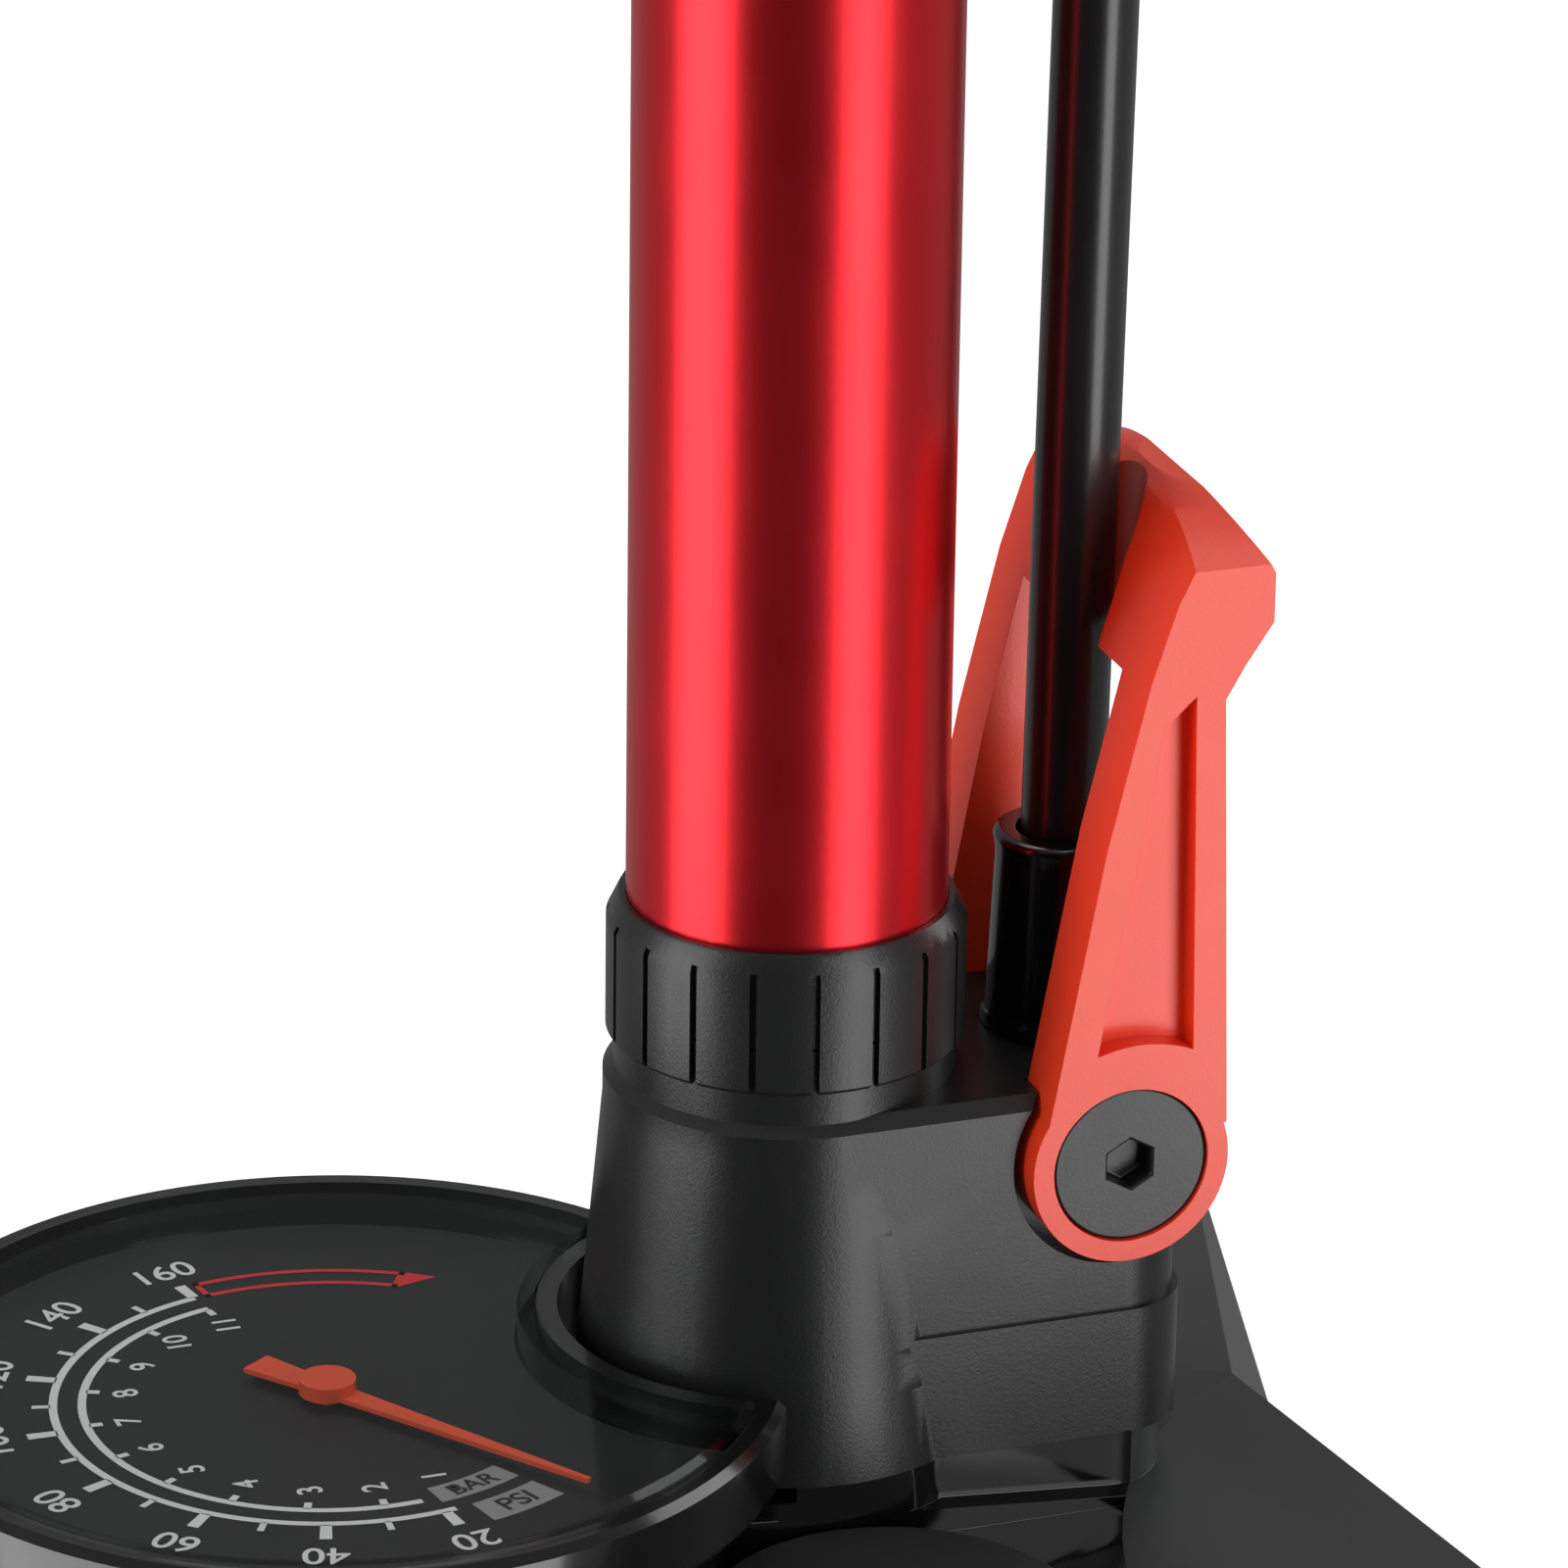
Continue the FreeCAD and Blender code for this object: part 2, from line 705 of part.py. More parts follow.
def make_lever():
    x, z = "pivot_back", "pivot_rise"
    side = extrude(
        "lever_side",
        "XZ_Plane",
        [
            (f"{x} - 11.1", f"{z} + 3"),
            (f"{x} - 4.2", f"{z} + 40.4"),
            (f"{x} + 0.7", f"{z} + 60.6"),
            (f"{x} + 3.8", f"{z} + 70"),
            (f"{x} + 7.4", "lever_top - 1.5"),
            (f"{x} + 9.4", "lever_top"),
            (f"{x} + 13", "lever_top - 0.6"),
            (f"{x} + 15.8", "lever_top - 6"),
            (f"{x} + 15.8", "lever_top - 12"),
            (f"{x} + 12.4", "lever_top - 17"),
            (f"{x} + 10.1", "lever_top - 21"),
            (f"{x} + 12", f"{z} + 4"),
        ],
        "2 * arm_outer",
        both_ways=True,
    )
    eye = rod("lever_eye", "eye_radius", "2 * arm_outer", x, "-arm_outer", z, "y")
    crown = rod("lever_crown_disc", "lever_crown", "200", "-60", "0", "lever_top - lever_crown", "x")
    solid = common("lever_crowned", fuse("lever_solid", side, eye), crown)
    window = block("lever_window", "120", "2 * arm_inner", "bridge_under + 40", "-20", "-arm_inner", "-40")
    notch = rod("lever_notch", "hose_notch", "200", "ferrule_back + 0.8", "0", "0")
    mouth = block("lever_mouth", "60", "2 * hose_notch", "200", "ferrule_back + 0.8 - 60", "-hose_notch", "0")
    tools = [window, notch, mouth, rod("lever_bore", "spindle_radius + 0.02", "60", x, "-30", z, "y")]
    for word, foot in (("left", "arm_outer - cap_thick - cap_sink"), ("right", "-arm_outer - 1")):
        tools.append(
            rod(f"lever_cap_seat_{word}", "cap_radius + 0.1", "cap_thick + cap_sink + 1", x, foot, z, "y")
        )
    for word, foot in (("left", "-arm_outer - 1"), ("right", "arm_outer - web_recess")):
        tools.append(
            extrude(
                f"lever_web_{word}",
                "XZ_Plane",
                [
                    (f"{x} - 4.6", f"{z} + 14.5", "eye_radius + 4", -1),
                    (f"{x} + 7.4", f"{z} + 14"),
                    (f"{x} + 6.4", f"{z} + 58.5"),
                    (f"{x} + 2.6", f"{z} + 55"),
                ],
                "web_recess + 1",
                foot,
            )
        )
    keep(cut("lever_cut", solid, *tools), "selector_lever")


def make_spindle():
    x, z = "pivot_back", "pivot_rise"
    seat = "(arm_outer - cap_thick - cap_sink)"
    shaft = rod("spindle_shaft", "spindle_radius", f"2 * {seat}", x, f"-{seat}", z, "y")
    tools = [rod("spindle_way", "air_way - 0.2", "40", x, "0", f"{z} - 20")]
    for word, side in (("left", 1), ("right", -1)):
        tools.append(
            rod(f"spindle_tap_{word}", "shank_radius", "9", x, f"{seat} - 8.5" if side > 0 else f"-{seat} - 0.5",
                z, "y")
        )
        ring = f"{side} * 9"
        tools.append(
            cut(
                f"spindle_groove_{word}",
                rod(f"spindle_groove_outer_{word}", "spindle_radius + 2", "seal_thick + 0.2", x,
                    f"{ring} - seal_thick / 2 - 0.1", z, "y"),
                rod(f"spindle_groove_inner_{word}", "spindle_radius - 1.3", "20", x, f"{ring} - 10", z, "y"),
            )
        )
    keep(cut("spindle_cut", shaft, *tools), "selector_spindle")
    for word, side in (("left", 1), ("right", -1)):
        ring = f"{side} * 9 - seal_thick / 2"
        seal = cut(
            f"spindle_seal_cut_{word}",
            rod(f"spindle_seal_outer_{word}", "spindle_radius", "seal_thick", x, ring, z, "y"),
            rod(f"spindle_seal_inner_{word}", "spindle_radius - 1.25", "20", x, f"{side} * 9 - 10", z, "y"),
        )
        keep(seal, f"spindle_seal_{word}")
        head = rod(f"cap_head_{word}", "cap_radius", "cap_thick", x, seat if side > 0 else f"-{seat} - cap_thick",
                   z, "y")
        shank = rod(f"cap_shank_{word}", "shank_radius - 0.02", "8.5", x,
                    f"{seat} - 8" if side > 0 else f"-{seat} - 0.5", z, "y")
        socket = extrude(
            f"cap_socket_{word}",
            "XZ_Plane",
            [
                (f"{x} + hex_flats * {0.57735 * math.cos(a):.5f}", f"{z} + hex_flats * {0.57735 * math.sin(a):.5f}")
                for a in (math.radians(30 + 60 * k) for k in range(6))
            ],
            "4",
            f"-{seat} - 5" if side > 0 else f"{seat} + 1",
        )
        keep(cut(f"cap_screw_cut_{word}", fuse(f"cap_screw_solid_{word}", head, shank), socket),
             f"cap_screw_{word}")


# Gauge ---------------------------------------------------------------------------------------------------


def bitten(name, disc, radius):
    """Removes what lies within a radius of the barrel's axis."""
    return cut(name, disc, rod(f"{name}_bite", radius, "120", z="-10"))


def make_gauge():
    x = "gauge_back"
    outer = turned(
        "case_outer",
        [
            ("0", "case_foot"),
            ("case_radius", "case_foot"),
            ("case_radius", "rim_foot - 4"),
            ("rim_radius - 1", "rim_foot"),
            ("rim_radius", "rim_foot + 1.5"),
            ("rim_radius", "rim_top - 1"),
            ("rim_radius - 1", "rim_top"),
            ("0", "rim_top"),
        ],
        x,
    )
    wall = "bite_radius - 2.6"
    room = turned(
        "case_room",
        [
            ("0", "case_foot + case_wall"),
            ("case_radius - case_wall", "case_foot + case_wall"),
            ("case_radius - case_wall", "dial_top - dial_thick"),
            ("lens_radius + 0.1", "dial_top - dial_thick"),
            ("lens_radius + 0.1", "rim_top + 5"),
            ("0", "rim_top + 5"),
        ],
        x,
    )
    keep(
        cut(
            "case_cut",
            bitten("case_bitten", outer, wall),
            bitten("case_room_bitten", room, "bite_radius - 0.1"),
            rod("case_stem_way", "stem_radius - 1.3", "12", "-bite_radius - 4", "0", "stem_rise", "x"),
        ),
        "gauge_case",
    )
    dial = rod("dial_disc", "lens_radius - lens_wall - 0.3", "dial_thick", x, "0", "dial_top - dial_thick")
    dial_hole = rod("dial_hole", "arbor_radius + 0.4", "20", x, "0", "30")
    keep(cut("dial_cut", bitten("dial_bitten", dial, "bite_radius + lens_wall + 0.3"), dial_hole), "gauge_dial")
    glass = turned(
        "lens_outer",
        [
            ("0", "dial_top - dial_thick + 0.02"),
            ("lens_radius", "dial_top - dial_thick + 0.02"),
            ("lens_radius", "lens_top - 0.8"),
            ("lens_radius - 0.8", "lens_top"),
            ("0", "lens_top"),
        ],
        x,
    )
    glass_room = rod("lens_room", "lens_radius - lens_wall", "lens_top - lens_thick - 20", x, "0", "20")
    keep(
        cut(
            "lens_cut",
            bitten("lens_bitten", glass, "bite_radius"),
            bitten("lens_room_bitten", glass_room, "bite_radius + lens_wall"),
        ),
        "gauge_lens",
    )
    make_needle()
    make_movement()


def make_needle():
    x, rise = "gauge_back", "dial_top + needle_rise"
    blade = extrude(
        "needle_blade",
        "XY_Plane",
        [
            ("-needle_tail", "-needle_wide"),
            ("0", "-needle_wide * 0.7"),
            ("needle_reach", "-0.35"),
            ("needle_reach", "0.35"),
            ("0", "needle_wide * 0.7"),
            ("-needle_tail", "needle_wide"),
        ],
        "0.6",
    )
    blade.Placement = FreeCAD.Placement(
        FreeCAD.Vector(read(x), 0, read(rise)), FreeCAD.Rotation(FreeCAD.Vector(0, 0, 1), -56)
    )
    hub = rod("needle_hub", "3.4", "1.8", x, "0", rise)
    arbor = rod("needle_arbor", "arbor_radius", "13.2", x, "0", f"{rise} - 12.8")
    pinion = rod("needle_pinion", "arbor_radius + 0.8", "2.4", x, "0", f"{rise} - 11.2")
    keep(fuse("needle_fused", blade, hub, arbor, pinion), "gauge_needle")


def make_movement():
    x, floor = "gauge_back", "case_foot + case_wall"
    bourdon = doc.addObject("Part::Torus", "bourdon_ring")
    bind(bourdon, Radius1="bourdon_radius", Radius2="2.6")
    bourdon.Angle3 = 265
    bourdon.Placement = FreeCAD.Placement(
        FreeCAD.Vector(read(x), 0, read(f"{floor} + 4.6")), FreeCAD.Rotation(FreeCAD.Vector(0, 0, 1), -20)
    )
    keep(bourdon, "bourdon_tube")
    socket = block("socket_block", "7", "12", "9.5", "gauge_back + bourdon_radius - 3.4", "-11.5", floor)
    way = cut("socket_way", socket, common(
        "socket_tube", rod("socket_ring_disc", "bourdon_radius + 2.65", "5.3", x, "0", f"{floor} + 1.95"),
        block("socket_ring_keep", "8", "14", "7", "gauge_back + bourdon_radius - 4", "-9", f"{floor} + 1.9")))
    keep(way, "gauge_socket")
    plate = block("plate_low", "25", "14", "1.4", "gauge_back - 17", "-7", f"{floor} + 10.2")
    posts = [
        rod(f"plate_post_{k}", "1.6", "10.3", f"gauge_back + {a}", b, floor)
        for k, (a, b) in enumerate((("-15", "-5"), ("-15", "5"), ("6.2", "0")))
    ]
    keep(
        cut(
            "plate_cut",
            fuse("plate_fused", plate, *posts),
            rod("plate_arbor_way", "arbor_radius + 0.05", "20", x, "0", "20"),
            rod("plate_sector_way", "1.05", "20", "gauge_back - 13", "0", "20"),
        ),
        "movement_plate",
    )
    rise = f"{floor} + 12.2"
    sector = extrude(
        "sector_plan",
        "XY_Plane",
        [("-3", "-1.6"), ("0", "-2.4"), ("9.75", "-4.95", "10.935", 1), ("9.75", "4.95"), ("0", "2.4"), ("-3", "1.6")],
        "1.2",
    )
    place(sector, "gauge_back - 13", "0", rise, (0, 0, 1), -22.8)
    keep(
        fuse("sector_fused", sector, rod("sector_pin", "1.0", "4.4", "gauge_back - 13", "0", f"{rise} - 2.2")),
        "gauge_sector",
    )
    stem = tube("stem_tube", "stem_radius", "stem_radius - 1.3", "0", "7.7")
    keep(place(stem, "-bite_radius + 2.75", "0", "stem_rise", (0, 1, 0), 90), "gauge_stem")


# Hose ----------------------------------------------------------------------------------------------------

# Route of the hose's middle line: up beside the barrel, through the guide, over in a wide bow on the +Y
# side, and down into the tail of the docked pump head.
hose_route = [
    (34.5, 0.0, 92.5),
    (36.1, 0.0, 214.0),
    (38.6, 1.0, 340.0),
    (40.9, 0.4, 452.0),
    (41.4, -0.4, 520.0),
    (41.5, 1.2, 586.0),
    (41.0, 22.4, 615.0),
    (40.0, 56.6, 626.0),
    (38.5, 90.8, 615.0),
    (36.0, 112.0, 586.0),
    (31.0, 114.5, 544.0),
    (20.5, 103.0, 484.0),
    (9.0, 74.0, 432.0),
    (1.8, 46.5, 391.0),
    (0.0, 40.4, 357.0),
    (0.0, 40.0, 330.5),
]


def hose_line(points):
    """Wire of straight runs joined by tangent arcs, each as large as its two runs allow."""
    spots = [FreeCAD.Vector(*point) for point in points]
    parts, at, radii = [], spots[0], []
    for before, here, after in zip(spots, spots[1:], spots[2:]):
        back, on = (before - here), (after - here)
        turn = math.pi - back.getAngle(on)
        reach = 0.45 * min(back.Length, on.Length)
        back.normalize()
        on.normalize()
        radius = reach / math.tan(turn / 2)
        radii.append(round(radius, 1))
        first, last = here + back * reach, here + on * reach
        middle = here + (back + on).normalize() * (radius / math.cos(turn / 2) - radius)
        parts.append(Part.LineSegment(at, first).toShape())
        parts.append(Part.Arc(first, middle, last).toShape())
        at = last
    parts.append(Part.LineSegment(at, spots[-1]).toShape())
    print("hose bend radii", radii)
    return Part.Wire(parts)


def make_hose():
    wire = hose_line(hose_route)
    start = FreeCAD.Vector(*hose_route[0])
    ring = Part.Wire(Part.makeCircle(read("hose_radius"), start, FreeCAD.Vector(*hose_route[1]) - start))
    hose = doc.addObject("Part::Feature", "hose_sweep")
    hose.Shape = wire.makePipeShell([ring], True, False)
    section = math.pi * read("hose_radius") ** 2
    print("hose length", round(wire.Length, 1), "volume ratio", hose.Shape.Volume / (section * wire.Length))
    keep(hose, "hose")
    ferrule = turned(
        "ferrule_turned",
        [
            ("air_way", "block_top"),
            ("ferrule_foot_radius", "block_top"),
            ("ferrule_foot_radius", "block_top + 1.5"),
            ("ferrule_foot_radius - 0.5", "block_top + 2.5"),
            ("ferrule_radius", "ferrule_top - 3"),
            ("ferrule_radius + 0.3", "ferrule_top - 0.6"),
            ("ferrule_radius - 0.4", "ferrule_top"),
            ("hose_radius + fit_loose", "ferrule_top"),
            ("hose_radius + fit_loose", "ferrule_top - ferrule_depth"),
            ("air_way", "ferrule_top - ferrule_depth"),
        ],
        "ferrule_back",
    )
    keep(ferrule, "hose_ferrule")


def make_guides():
    band, bore = "barrel_radius + band_thick", "barrel_radius + fit_slide"
    ring = rod("guide_ring", band, "guide_tall", z="guide_foot")
    arm = block("guide_arm", "guide_reach - barrel_radius", "6", "guide_tall", "barrel_radius + 1", "-3",
                "guide_foot")
    eye = rod("guide_eye", "hose_radius + 3", "guide_tall", "guide_reach", "0", "guide_foot")
    keep(
        cut(
            "guide_cut",
            fuse("guide_solid", ring, arm, eye),
            rod("guide_bore", bore, "600", z="100"),
            rod("guide_way", "hose_radius + 0.6", "600", "guide_reach", "0", "100"),
            block("guide_mouth", "20", "2 * hose_radius - 2", "600", "guide_reach + 2", "-hose_radius + 1", "100"),
        ),
        "hose_guide",
    )
    ring = rod("dock_ring", band, "dock_tall", z="dock_foot")
    arm = block("dock_arm", "8", "dock_reach - barrel_radius", "dock_tall", "-4", "barrel_radius + 1", "dock_foot")
    eye = rod("dock_eye", "head_radius + 3", "dock_tall", "0", "dock_reach", "dock_foot")
    keep(
        cut(
            "dock_cut",
            fuse("dock_solid", ring, arm, eye),
            rod("dock_bore", bore, "600", z="100"),
            rod("dock_way", "head_radius + 0.05", "600", "0", "dock_reach", "100"),
            block("dock_mouth", "2 * head_radius - 7", "20", "600", "-head_radius + 3.5", "dock_reach + 4", "100"),
        ),
        "head_dock",
    )


# Pump head ------------------------------------------------------------------------------------------------


def make_head():
    y, rise = "dock_reach", "nozzle_rise"
    shell = turned(
        "head_body",
        [
            ("0", "head_foot"),
            ("head_radius - 2", "head_foot"),
            ("head_radius", "head_foot + 2"),
            ("head_radius", "head_top - 8"),
            ("head_radius - 3.4", "head_top - 2"),
            ("head_radius - 3.4", "head_top"),
            ("hose_radius + fit_loose", "head_top"),
            ("hose_radius + fit_loose", "head_top - 8"),
            ("air_way", "head_top - 8"),
            ("air_way", "nozzle_rise"),
            ("0", "nozzle_rise"),
        ],
        "0",
        y,
    )
    nozzle = rod("head_nozzle", "nozzle_radius", "nozzle_reach", "0", y, rise, "x")
    ears = block("head_ears", "12", "latch_wide + 9", "11", "-head_radius - 7", f"{y} - latch_wide / 2 - 4.5",
                 f"{rise} - 5.5")
    keep(
        cut(
            "head_cut",
            fuse("head_solid", shell, nozzle, ears),
            rod("head_nozzle_bore", "valve_bore + 1.5", "60", "0", y, rise, "x"),
            block("head_latch_room", "13.5", "latch_wide + 1", "30", "-head_radius - 12.2",
                  f"{y} - latch_wide / 2 - 0.5", f"{rise} - 12"),
            rod("head_pin_way", "latch_pin + fit_slide", "60", "-head_radius - 3.5", f"{y} - 30", rise, "y"),
        ),
        "pump_head",
    )
    knob = tube("chuck_ring", "chuck_radius", "valve_bore", "0", "chuck_length")
    keep(place(knob, "nozzle_reach", y, rise, (0, 1, 0), 90), "chuck_knob")
    seal = tube("chuck_seal_ring", "valve_bore + 1.45", "valve_bore - 1.2", "0", "8")
    keep(place(seal, "nozzle_reach - 8", y, rise, (0, 1, 0), 90), "chuck_seal")
    pivot = "-head_radius - 3.5"
    boss = rod("latch_boss", "4.4", "latch_wide", pivot, f"{y} - latch_wide / 2", rise, "y")
    arm = block("latch_arm", "4.4", "latch_wide", "36", f"{pivot} - 4.4", f"{y} - latch_wide / 2", rise)
    tip = rod("latch_tip", "latch_wide / 2 + 1.5", "4.4", f"{pivot} - 4.4", y, f"{rise} + 36", "x")
    pin = rod("latch_pin_rod", "latch_pin", "latch_wide + 9", pivot, f"{y} - latch_wide / 2 - 4.5", rise, "y")
    keep(fuse("latch_fused", boss, arm, tip, pin), "head_latch")


# Top cap, piston and handle -------------------------------------------------------------------------------


def make_top():
    crown = "barrel_foot + barrel_length"
    keep(
        turned(
            "cap_turned",
            [
                ("barrel_radius + fit_slide", f"{crown} - cap_skirt"),
                ("cap_body - 0.8", f"{crown} - cap_skirt"),
                ("cap_body", f"{crown} - cap_skirt + 0.8"),
                ("cap_body", f"{crown} + 2"),
                ("cap_body - 5", f"{crown} + cap_crown - 1"),
                ("cap_body - 6", f"{crown} + cap_crown"),
                ("bush_radius + 0.02", f"{crown} + cap_crown"),
                ("bush_radius + 0.02", f"{crown} - 4"),
                ("tube_radius + fit_slide", f"{crown} - 4"),
                ("tube_radius + fit_slide", f"{crown} - cap_skirt + 6"),
                ("barrel_radius - barrel_wall - fit_slide", f"{crown} - cap_skirt + 6"),
                ("barrel_radius - barrel_wall - fit_slide", crown),
                ("barrel_radius + fit_slide", crown),
            ],
        ),
        "top_cap",
    )
    keep(
        turned(
            "bush_turned",
            [
                ("rod_radius + fit_slide", f"{crown} - 4"),
                ("bush_radius", f"{crown} - 4"),
                ("bush_radius", f"{crown} + cap_crown"),
                ("bush_radius + 1.6", f"{crown} + cap_crown"),
                ("bush_radius + 1.6", f"{crown} + cap_crown + 1.4"),
                ("rod_radius + fit_slide", f"{crown} + cap_crown + 1.4"),
            ],
        ),
        "rod_bush",
    )
    keep(rod("piston_rod_rod", "rod_radius", "handle_rise - piston_foot - 4", z="piston_foot + 4"), "piston_rod")
    inner = "tube_radius - tube_wall"
    piston = turned(
        "piston_turned",
        [
            ("0", "piston_foot"),
            (f"{inner} - 0.6", "piston_foot"),
            (f"{inner} - fit_slide", "piston_foot + 0.6"),
            (f"{inner} - fit_slide", "piston_foot + 5"),
            (f"{inner} - 2.2", "piston_foot + 5"),
            (f"{inner} - 2.2", "piston_foot + 5 + seal_width"),
            (f"{inner} - fit_slide", "piston_foot + 5 + seal_width"),
            (f"{inner} - fit_slide", "piston_foot + piston_length"),
            ("rod_radius", "piston_foot + piston_length"),
            ("rod_radius", "piston_foot + 4"),
            ("0", "piston_foot + 4"),
        ],
    )
    keep(piston, "piston")
    keep(
        tube("piston_seal_ring", f"{inner} - 0.02", f"{inner} - 2.2", "piston_foot + 5", "piston_foot + 5 + seal_width"),
        "piston_seal",
    )


def make_handle():
    rise, crown = "handle_rise", "barrel_foot + barrel_length + cap_crown + 1.4"
    keep(tube("bumper_ring", "hub_radius - 3.5", "rod_radius", f"{crown} + fit_loose",
              f"{crown} + fit_loose + bumper_thick"), "bumper")
    hub = turned(
        "hub_turned",
        [
            ("rod_radius", f"{crown} + fit_loose + bumper_thick"),
            ("hub_radius - 2.5", f"{crown} + fit_loose + bumper_thick"),
            ("hub_radius - 1", f"{rise} - 10"),
            ("hub_radius", f"{rise} - 6"),
            ("hub_radius", f"{rise} + 7"),
            ("hub_radius - 3", f"{rise} + 12"),
            ("0", f"{rise} + 12"),
            ("0", rise),
            ("rod_radius", rise),
        ],
    )
    keep(
        cut("hub_cut", hub, rod("hub_bar_way", "bar_radius + 0.02", "80", "0", "-40", rise, "y")), "handle_hub"
    )
    bar = rod("bar_rod", "bar_radius", "2 * grip_outer - 8", "0", "-grip_outer + 4", rise, "y")
    keep(
        cut("bar_cut", bar, rod("bar_bore", "bar_radius - 1.5", "400", "0", "-200", rise, "y"),
            rod("bar_rod_way", "rod_radius + 0.02", "30", "0", "0", f"{rise} - 25")),
        "handle_bar",
    )
    for word, side in (("left", 1), ("right", -1)):
        foot = "grip_inner" if side > 0 else "-grip_outer"
        length = "grip_outer - grip_inner"
        keep(cut(f"grip_{word}_cut", turned_grip(word, side),
                 rod(f"grip_{word}_bore", "bar_radius + 0.02", length, "0",
                     f"{foot} - 3" if side > 0 else f"{foot} + 3", rise, "y")), f"grip_{word}")


def turned_grip(word, side):
    """Waisted outline of one grip along Y."""
    waist = turned(
        f"grip_{word}_waist",
        [
            ("0", "grip_inner"),
            ("grip_radius - 2.2", "grip_inner"),
            ("grip_radius - 1", "grip_inner + 5"),
            ("grip_radius - 2.6", "grip_inner + 26"),
            ("grip_radius", "grip_outer - 20"),
            ("grip_radius - 1.2", "grip_outer - 4"),
            ("grip_radius - 5", "grip_outer"),
            ("0", "grip_outer"),
        ],
    )
    return place(waist, z="handle_rise", axis=(1, 0, 0), angle=-90 * side)


# Build and write ------------------------------------------------------------------------------------------

make_base()
make_feet_and_pads()
make_block()
make_collar()
make_tubes()
make_check_valve()
make_lever()
make_spindle()
make_gauge()
make_hose()
make_guides()
make_head()
make_top()
make_handle()
doc.recompute()

faults = [item.Name for item in doc.Objects if {"Invalid", "Error"} & set(item.State)]
for item in nodes:
    if item.Shape.isNull() or not item.Shape.isValid() or not item.Shape.Solids:
        faults.append(item.Label)
    else:
        print(f"{item.Label}: {len(item.Shape.Solids)} solid, {item.Shape.Volume / 1000:.2f} cm3")
if faults:
    raise RuntimeError(f"objects that failed: {faults}")
os.makedirs("parts", exist_ok=True)
for item in nodes:
    item.Shape.exportStep(f"parts/{item.Label}.step")
print(len(nodes), "sub-parts written")
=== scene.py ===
import json
import math

import bpy
from mathutils import Matrix, Vector

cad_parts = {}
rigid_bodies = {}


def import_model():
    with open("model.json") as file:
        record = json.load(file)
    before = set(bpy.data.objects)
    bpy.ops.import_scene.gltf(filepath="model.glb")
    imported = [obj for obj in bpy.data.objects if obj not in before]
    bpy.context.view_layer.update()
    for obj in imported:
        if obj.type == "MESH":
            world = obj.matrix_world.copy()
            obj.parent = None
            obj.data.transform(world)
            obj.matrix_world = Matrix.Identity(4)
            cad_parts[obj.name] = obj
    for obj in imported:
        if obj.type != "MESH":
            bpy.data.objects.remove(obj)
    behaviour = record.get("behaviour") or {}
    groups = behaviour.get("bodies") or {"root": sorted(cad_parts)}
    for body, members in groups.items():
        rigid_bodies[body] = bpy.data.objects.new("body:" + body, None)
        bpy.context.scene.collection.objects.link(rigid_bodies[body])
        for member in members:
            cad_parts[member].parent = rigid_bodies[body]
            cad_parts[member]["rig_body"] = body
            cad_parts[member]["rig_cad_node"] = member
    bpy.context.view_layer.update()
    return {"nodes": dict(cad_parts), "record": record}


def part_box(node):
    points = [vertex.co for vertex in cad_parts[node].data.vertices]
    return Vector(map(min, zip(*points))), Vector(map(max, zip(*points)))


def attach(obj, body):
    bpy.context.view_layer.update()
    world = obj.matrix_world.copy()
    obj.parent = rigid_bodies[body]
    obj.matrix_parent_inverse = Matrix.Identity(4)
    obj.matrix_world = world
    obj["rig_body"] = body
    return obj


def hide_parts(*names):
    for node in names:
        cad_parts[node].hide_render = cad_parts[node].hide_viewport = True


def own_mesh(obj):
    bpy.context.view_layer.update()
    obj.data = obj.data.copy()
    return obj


for thing in list(bpy.data.objects):
    bpy.data.objects.remove(thing)

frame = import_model()
nodes = frame["nodes"]
bodyOf = {
    node: body for body, members in frame["record"]["behaviour"]["bodies"].items() for node in members
}
slotOf = {entry["node"]: entry["material_slot"] for entry in frame["record"]["subparts"]}


def only(thing):
    """Makes one object the only selected and active one."""
    bpy.ops.object.select_all(action="DESELECT")
    thing.select_set(True)
    bpy.context.view_layer.objects.active = thing


# Materials ------------------------------------------------------------------------------------------------


def link(tree, start, end):
    tree.links.new(start, end)


def finish(name, colour, rough, metal=0.0, coat=0.0, grain=0.0, grainScale=900.0, mottle=0.15):
    """Procedural finish: mottled roughness, and a fine bump when grain is above 0."""
    made = bpy.data.materials.new(name)
    made.use_nodes = True
    tree = made.node_tree
    shader = tree.nodes["Principled BSDF"]
    shader.inputs["Base Color"].default_value = (*colour, 1)
    shader.inputs["Metallic"].default_value = metal
    shader.inputs["Coat Weight"].default_value = coat
    shader.inputs["Coat Roughness"].default_value = 0.08
    place = tree.nodes.new("ShaderNodeTexCoord")
    cloud = tree.nodes.new("ShaderNodeTexNoise")
    cloud.inputs["Scale"].default_value = 60.0
    link(tree, place.outputs["Object"], cloud.inputs["Vector"])
    spread = tree.nodes.new("ShaderNodeMapRange")
    spread.inputs["To Min"].default_value = rough * (1 - mottle)
    spread.inputs["To Max"].default_value = rough * (1 + mottle)
    link(tree, cloud.outputs["Fac"], spread.inputs["Value"])
    link(tree, spread.outputs["Result"], shader.inputs["Roughness"])
    if grain:
        speck = tree.nodes.new("ShaderNodeTexNoise")
        speck.inputs["Scale"].default_value = grainScale
        speck.inputs["Detail"].default_value = 3.0
        link(tree, place.outputs["Object"], speck.inputs["Vector"])
        bump = tree.nodes.new("ShaderNodeBump")
        bump.inputs["Strength"].default_value = grain
        bump.inputs["Distance"].default_value = 0.0002
        link(tree, speck.outputs["Fac"], bump.inputs["Height"])
        link(tree, bump.outputs["Normal"], shader.inputs["Normal"])
    return made


